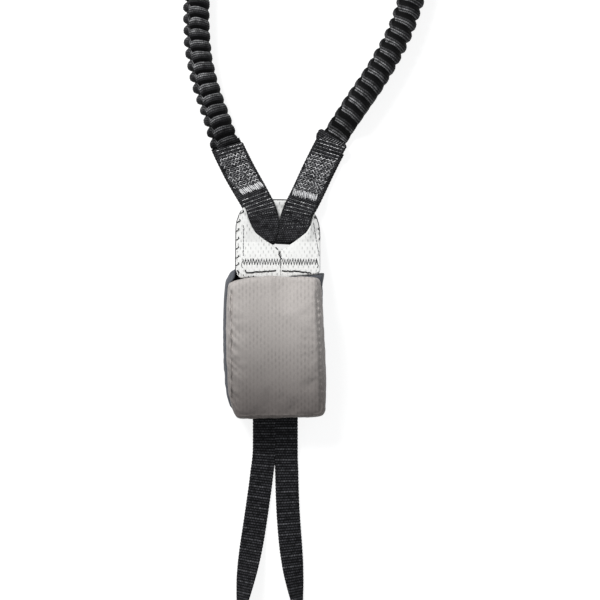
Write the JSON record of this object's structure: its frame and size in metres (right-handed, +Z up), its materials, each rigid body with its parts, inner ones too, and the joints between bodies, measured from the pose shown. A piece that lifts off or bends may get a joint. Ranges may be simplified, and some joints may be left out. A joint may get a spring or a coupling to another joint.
{
  "type": "via ferrata lanyard",
  "caption": "Elastic via ferrata lanyard laid out flat: ribbed webbing arms with palm-lock carabiners, a white eye, a tear absorber in a pouch and a tie-in sling.",
  "frame": {"origin": "middle of the pouch's back face, on the surface that the lanyard lies on", "axes": "+Y from the pouch towards the eye and the arms, +X to the right as seen from the front, +Z up out of the surface, towards the pouch's light front"},
  "size_m": [0.2172, 0.8581, 0.0376],
  "materials": {
    "black_webbing": "woven polyamide webbing",
    "white_webbing": "woven high-tenacity polyester webbing",
    "grey_ripstop": "coated ripstop cloth",
    "slate_fabric": "plain woven cloth",
    "elastic_rubber": "covered elastic cord",
    "keeper_rubber": "moulded rubber",
    "anodised_aluminium": "forged and anodised",
    "brushed_aluminium": "machined and brushed",
    "lever_plastic": "moulded",
    "steel": "stainless"
  },
  "bodies": {
    "absorber_and_arms": {"pouch_back": "slate_fabric", "pouch_front": "grey_ripstop", "tear_webbing": "white_webbing", "eye_back": "white_webbing", "eye_front_left": "white_webbing", "eye_front_right": "white_webbing", "tie_in_sling": "black_webbing", "eye_loop_left": "black_webbing", "arm_sleeve_left": "black_webbing", "elastic_core_left": "elastic_rubber", "carabiner_loop_left": "black_webbing", "keeper_left": "keeper_rubber", "eye_loop_right": "black_webbing", "arm_sleeve_right": "black_webbing", "elastic_core_right": "elastic_rubber", "carabiner_loop_right": "black_webbing", "keeper_right": "keeper_rubber"},
    "carabiner_left": {"carabiner_frame_left": "anodised_aluminium", "gate_pin_left": "steel", "lever_pin_left": "steel", "gate_spring_left": "steel", "lever_spring_left": "steel"},
    "gate_left": {"gate_left": "brushed_aluminium"},
    "palm_lever_left": {"palm_lever_left": "lever_plastic"},
    "carabiner_right": {"carabiner_frame_right": "anodised_aluminium", "gate_pin_right": "steel", "lever_pin_right": "steel", "gate_spring_right": "steel", "lever_spring_right": "steel"},
    "gate_right": {"gate_right": "brushed_aluminium"},
    "palm_lever_right": {"palm_lever_right": "lever_plastic"}
  },
  "joints": [
    {"name": "carabiner_swing_left", "type": "hinge", "parent": "absorber_and_arms", "child": "carabiner_left", "pos_m": [-0.045, 0.50446, 0.006], "axis": [1, 0, 0], "range_deg": [-90, 90]},
    {"name": "gate_open_left", "type": "hinge", "parent": "carabiner_left", "child": "gate_left", "pos_m": [-0.019, 0.52746, 0.006], "axis": [0, 0, 1], "range_deg": [0, 33], "stiffness_Nm_per_rad": 0.06, "springref_deg": -28.65},
    {"name": "lever_press_left", "type": "hinge", "parent": "carabiner_left", "child": "palm_lever_left", "pos_m": [-0.065, 0.51946, 0.006], "axis": [0, 0, -1], "range_deg": [0, 5.1], "stiffness_Nm_per_rad": 0.2, "springref_deg": -5.73},
    {"name": "carabiner_swing_right", "type": "hinge", "parent": "absorber_and_arms", "child": "carabiner_right", "pos_m": [0.095, 0.492, 0.006], "axis": [1, 0, 0], "range_deg": [-90, 90]},
    {"name": "gate_open_right", "type": "hinge", "parent": "carabiner_right", "child": "gate_right", "pos_m": [0.069, 0.515, 0.006], "axis": [0, 0, -1], "range_deg": [0, 33], "stiffness_Nm_per_rad": 0.06, "springref_deg": -28.65},
    {"name": "lever_press_right", "type": "hinge", "parent": "carabiner_right", "child": "palm_lever_right", "pos_m": [0.115, 0.507, 0.006], "axis": [0, 0, 1], "range_deg": [0, 5.1], "stiffness_Nm_per_rad": 0.2, "springref_deg": -5.73}
  ],
  "couplings": [
    {"joint": "lever_press_left", "follows": "gate_open_left", "ratio": 0.1545},
    {"joint": "lever_press_right", "follows": "gate_open_right", "ratio": 0.1545}
  ]
}
